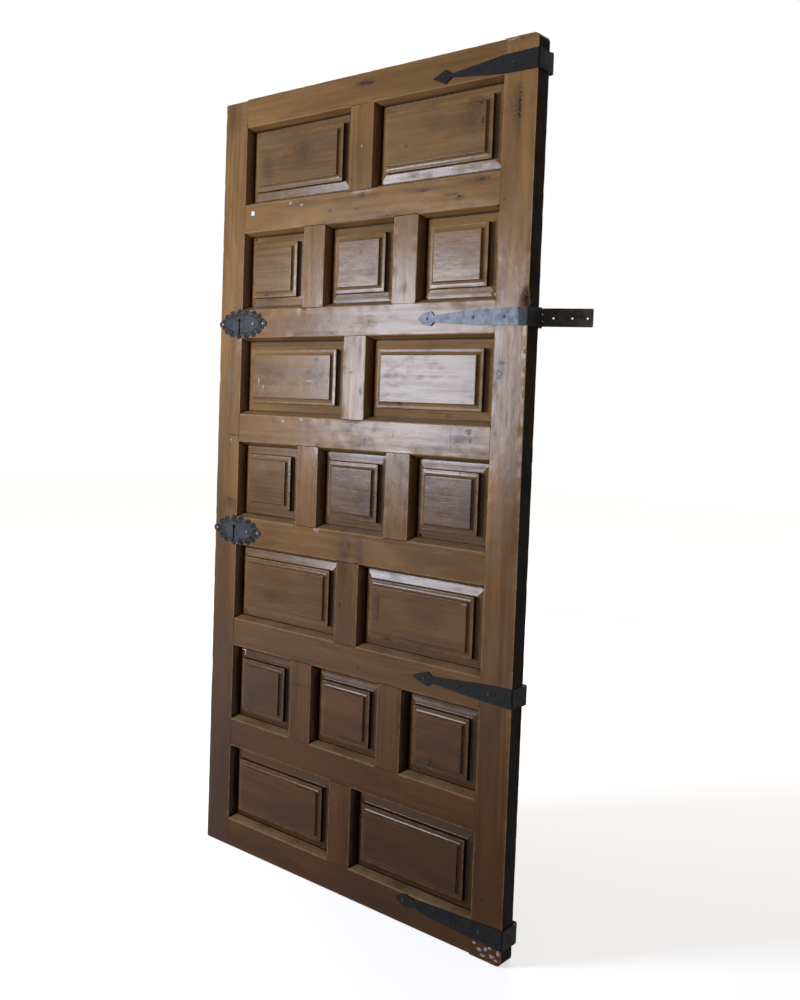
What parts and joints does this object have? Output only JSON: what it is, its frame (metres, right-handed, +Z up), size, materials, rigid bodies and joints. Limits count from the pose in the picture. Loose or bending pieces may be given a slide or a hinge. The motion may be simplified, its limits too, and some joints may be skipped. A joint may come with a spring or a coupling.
{
  "type": "panel door",
  "caption": "Old wooden door leaf with raised panels in a stile and rail frame, wrap-round strap hinges, pierced key plates and rim locks.",
  "frame": {"origin": "middle of the bottom rail's lower face, at half the leaf's thickness", "axes": "+Z up the leaf, +X towards the hinge edge, -Y towards the front with the strap plates"},
  "size_m": [1.1155, 0.1095, 2.055],
  "materials": {
    "wood_frame": "worn wax over stained walnut, light on the arrises",
    "wood_panel": "worn wax over stained walnut, darker in the hollows",
    "black_iron": "black painted wrought iron, satin",
    "grey_steel": "mottled bare steel, dull",
    "dark_steel": "browned steel, dull",
    "key_plate_iron": "dark pierced iron, worn",
    "lock_iron": "dark sheet iron, dull"
  },
  "bodies": {
    "leaf": {"stile_lock": "wood_frame", "stile_hinge": "wood_frame", "rail_1": "wood_frame", "rail_2": "wood_frame", "rail_3": "wood_frame", "rail_4": "wood_frame", "rail_5": "wood_frame", "rail_6": "wood_frame", "rail_7": "wood_frame", "rail_8": "wood_frame", "muntin_1_1": "wood_frame", "muntin_2_1": "wood_frame", "muntin_2_2": "wood_frame", "muntin_3_1": "wood_frame", "muntin_4_1": "wood_frame", "muntin_4_2": "wood_frame", "muntin_5_1": "wood_frame", "muntin_6_1": "wood_frame", "muntin_6_2": "wood_frame", "muntin_7_1": "wood_frame", "panel_1_1": "wood_panel", "panel_1_2": "wood_panel", "panel_2_1": "wood_panel", "panel_2_2": "wood_panel", "panel_2_3": "wood_panel", "panel_3_1": "wood_panel", "panel_3_2": "wood_panel", "panel_4_1": "wood_panel", "panel_4_2": "wood_panel", "panel_4_3": "wood_panel", "panel_5_1": "wood_panel", "panel_5_2": "wood_panel", "panel_6_1": "wood_panel", "panel_6_2": "wood_panel", "panel_6_3": "wood_panel", "panel_7_1": "wood_panel", "panel_7_2": "wood_panel", "strap_top": "black_iron", "strap_third": "black_iron", "strap_bottom": "black_iron", "strap_nails": "black_iron", "strap_lock_rail": "grey_steel", "strap_screws": "grey_steel", "hinge_pin": "dark_steel", "key_plate_upper": "key_plate_iron", "key_plate_lower": "key_plate_iron", "key_plate_nails": "key_plate_iron", "lock_plate_upper": "lock_iron", "lock_plate_lower": "lock_iron", "lock_case_upper": "lock_iron", "lock_case_lower": "lock_iron", "lock_screws": "lock_iron"},
    "frame_plate": {"hinge_frame_leaf": "dark_steel"},
    "bolt_upper": {"lock_bolt_upper": "lock_iron"},
    "bolt_lower": {"lock_bolt_lower": "lock_iron"}
  },
  "joints": [
    {"name": "frame_plate_swing", "type": "hinge", "parent": "leaf", "child": "frame_plate", "pos_m": [0.5, 0.0306, 1.447], "axis": [0, 0, 1], "range_deg": [-52, 154]},
    {"name": "bolt_upper_slide", "type": "slide", "parent": "leaf", "child": "bolt_upper", "axis": [-1, 0, 0], "range_m": [0, 0.022]},
    {"name": "bolt_lower_slide", "type": "slide", "parent": "leaf", "child": "bolt_lower", "axis": [-1, 0, 0], "range_m": [0, 0.022]}
  ]
}
